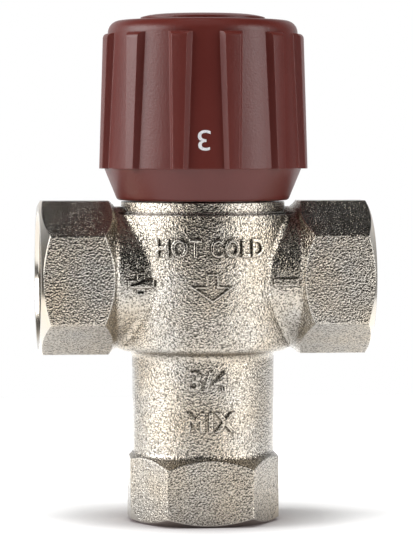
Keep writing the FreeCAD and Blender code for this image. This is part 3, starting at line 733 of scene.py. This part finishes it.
def flat_outline(corners, level):
    """A narrow flat rim along straight lines between corners (x, z), facing -Y."""
    clear_selection()
    bpy.ops.mesh.primitive_circle_add(vertices=len(corners), radius=1, fill_type="NGON")
    shape = bpy.context.object
    for vertex, (x, z) in zip(shape.data.vertices, corners):
        vertex.co = (x * mm, -front_gap, (z + level) * mm)
    bpy.ops.object.mode_set(mode="EDIT")
    bpy.ops.mesh.select_all(action="SELECT")
    bpy.ops.mesh.inset(thickness=arrow_line, use_even_offset=True)
    bpy.ops.mesh.delete(type="FACE")
    bpy.ops.mesh.select_all(action="SELECT")
    bpy.ops.mesh.subdivide(number_cuts=rim_cuts)
    bpy.ops.mesh.normals_make_consistent(inside=False)
    bpy.ops.object.mode_set(mode="OBJECT")
    return shape


left_side = ((-1.3, 3.0), (-1.3, 0.4), (-4.7, 0.4))
right_side = ((4.7, 0.4), (1.3, 0.4), (1.3, 3.0))
arrow = flat_outline((*left_side, (0.0, -3.0), *right_side), arrow_level)
raise_on(arrow, "body", arrow_height, mark_sink)
soften(arrow, mark_voxel, arrow_passes)
settle(arrow, "mark_flow_arrow", mark_nickel, "casing")

# %% [markdown]
# ## Numbers on the dial
# White numbers are printed on four of the knob's panels, a quarter turn apart and upside down to
# a reader in front. The higher number is the hotter one, and 3 faces the front.

# %% Print the numbers
ink_white = (0.80, 0.80, 0.82)
ink_thin = (0.62, 0.62, 0.66)
ink_grain = 0.3 * mm
ink_height = 0.05 * mm
ink, ink_tree, ink_surface = new_material("white ink")
ink_skin = place_group(ink_tree, grain_group, Size=ink_grain)
ink_shade = blend_colour(ink_tree, ink_skin["Pits"], ink_white, ink_thin)
join(ink_tree, (ink_shade, ink_surface.inputs["Base Color"]))
ink_surface.inputs["Roughness"].default_value = 0.5

dial_turn = -5.2
number_level = 80.3
number_height = 4.2
panels = (("3", 2.6, 0.0), ("4", 2.9, -90.0), ("2", 2.6, 90.0), ("1", 1.3, 180.0))
for number, width, turn in panels:
    digit = typed(number, width * mm, number_height * mm, 0, number_level * mm, math.pi, 0.0)
    digit.rotation_euler = (0, 0, math.radians(turn + dial_turn))
    raise_on(digit, "knob", ink_height, ink_height)
    settle(digit, "dial_number_" + number, ink, "dial")

# %% [markdown]
# ## Floor
# The valve stands on a white floor. A camera ray, and a ray that leaves metal or glass, sees the
# floor glow white. The glow fades towards the middle of the floor, which paints a shade round the
# valve, and an Ambient Occlusion node darkens the floor's colour and glow where the valve comes
# close, which paints a soft contact shadow on top of the lamps' shadow.

# %% Floor
floor_size = 0.56
floor_white = (0.86, 0.86, 0.86)
floor_shade = (0.30, 0.25, 0.26)
shade_reach = 0.018
shade_power = 1.4
glow_and_shade_ramp = {"From Min": 0.018, "From Max": 0.09, "To Min": 0.17, "To Max": 1.0}

clear_selection()
bpy.ops.mesh.primitive_plane_add(size=floor_size)
floor = bpy.context.object
floor.name = "floor"
floor_paint, floor_tree, floor_surface = new_material("white floor")
floor_surface.inputs["Roughness"].default_value = 0.9
floor_surface.inputs["Specular IOR Level"].default_value = 0.0
rays = add(floor_tree, "ShaderNodeLightPath").outputs
seen = calc(floor_tree, "ADD", rays["Is Camera Ray"], rays["Is Glossy Ray"])
seen = calc(floor_tree, "ADD", seen, rays["Is Transmission Ray"], clamp=True)
away = add(floor_tree, "ShaderNodeVectorMath", operation="LENGTH")
# Painted shadow: the glow is dimmed from 1 to 0.17 towards the middle of the floor.
glow = add(floor_tree, "ShaderNodeMapRange", glow_and_shade_ramp)
# Painted shadow: the Ambient Occlusion node darkens the floor's colour and glow near the valve.
near = add(floor_tree, "ShaderNodeAmbientOcclusion", {"Distance": shade_reach}, samples=8)
contact = calc(floor_tree, "POWER", near.outputs["AO"], shade_power)
bright = calc(floor_tree, "MULTIPLY", seen, glow.outputs[0])
bright = calc(floor_tree, "MULTIPLY", bright, contact)
floor_colour = blend_colour(floor_tree, contact, floor_shade, floor_white)
join(
    floor_tree,
    (add(floor_tree, "ShaderNodeTexCoord").outputs["Object"], away.inputs[0]),
    (away.outputs["Value"], glow.inputs["Value"]),
    (floor_colour, floor_surface.inputs["Base Color"]),
    (bright, floor_surface.inputs["Emission Strength"]),
)
floor_surface.inputs["Emission Color"].default_value = (1, 1, 1, 1)
floor.data.materials.append(floor_paint)
print("floor is", floor_size, "m wide")

# %% [markdown]
# ## World
# Behind the valve the world is white, and it turns dark towards the camera's side and overhead,
# so that the metal has something dark to mirror. Camera and transmission rays see white on every
# side.

# %% World
behind_ramp = {"From Min": 0.35, "From Max": 0.95, "To Min": 0.03, "To Max": 1.0}
overhead_ramp = {"From Min": 0.25, "From Max": 0.75, "To Min": 1.0, "To Max": 0.08}

world = bpy.data.worlds.new("studio")
world.use_nodes = True
scene.world = world
sky = world.node_tree
background = sky.nodes["Background"]
direction = add(sky, "ShaderNodeSeparateXYZ")
behind = add(sky, "ShaderNodeMapRange", behind_ramp, interpolation_type="SMOOTHSTEP")
overhead = add(sky, "ShaderNodeMapRange", overhead_ramp, interpolation_type="SMOOTHSTEP")
join(
    sky,
    (add(sky, "ShaderNodeTexCoord").outputs["Generated"], direction.inputs[0]),
    (direction.outputs["Y"], behind.inputs["Value"]),
    (direction.outputs["Z"], overhead.inputs["Value"]),
)
room = calc(sky, "MULTIPLY", behind.outputs[0], overhead.outputs[0])
paths = add(sky, "ShaderNodeLightPath").outputs
straight = calc(sky, "ADD", paths["Is Camera Ray"], paths["Is Transmission Ray"], clamp=True)
strength = calc(sky, "MAXIMUM", room, straight)
background.inputs["Color"].default_value = (1, 1, 1, 1)
join(sky, (strength, background.inputs["Strength"]))
print("world has", len(sky.nodes), "nodes")

# %% [markdown]
# ## Lamps
# Two large boxes at the sides give the metal its bright strips, and a narrow strip above the
# front adds a weaker one. A box overhead lights the knob and the floor, but is left out of the
# metal's reflections. A small lamp above and behind adds fine highlights.

# %% Lamps
camera_side = -96.0
lamp_aim = Vector((0, 0, 0.06))


def softbox(name, turn, height, width, tall, distance, watts):
    """A rectangular lamp that looks at the valve. Turn is in degrees from the camera's side."""
    angle = math.radians(turn + camera_side)
    place = Vector((distance * math.cos(angle), distance * math.sin(angle), height))
    bpy.ops.object.light_add(type="AREA", location=place)
    lamp = bpy.context.object
    lamp.name = name
    lamp.data.shape = "RECTANGLE"
    lamp.data.size = width
    lamp.data.size_y = tall
    lamp.data.energy = watts
    lamp.rotation_mode = "QUATERNION"
    lamp.rotation_quaternion = (lamp_aim - place).to_track_quat("-Z", "Y")


def hanging_lamp(name, place, size, watts):
    """A square area lamp that looks straight down."""
    clear_selection()
    bpy.ops.object.light_add(type="AREA", location=place)
    lamp = bpy.context.object
    lamp.name = name
    lamp.data.size = size
    lamp.data.energy = watts
    return lamp


softbox("left_box", -77, height=0.31, width=0.66, tall=0.5, distance=0.7, watts=7.0)
softbox("right_box", 66, height=0.28, width=0.38, tall=0.5, distance=0.7, watts=3.5)
top_box = hanging_lamp("top_box", (0, -0.16, 0.85), size=0.5, watts=3.4)
top_box.visible_glossy = False
softbox("front_strip", 0, height=0.8, width=0.5, tall=0.2, distance=0.36, watts=0.25)
hanging_lamp("spark_lamp", (0, 0.15, 0.8), size=0.05, watts=0.14)

# %% [markdown]
# ## Finish
# The view transform stays plain, so a colour comes out as it is written.

# %% Finish
scene.view_settings.view_transform = "Standard"
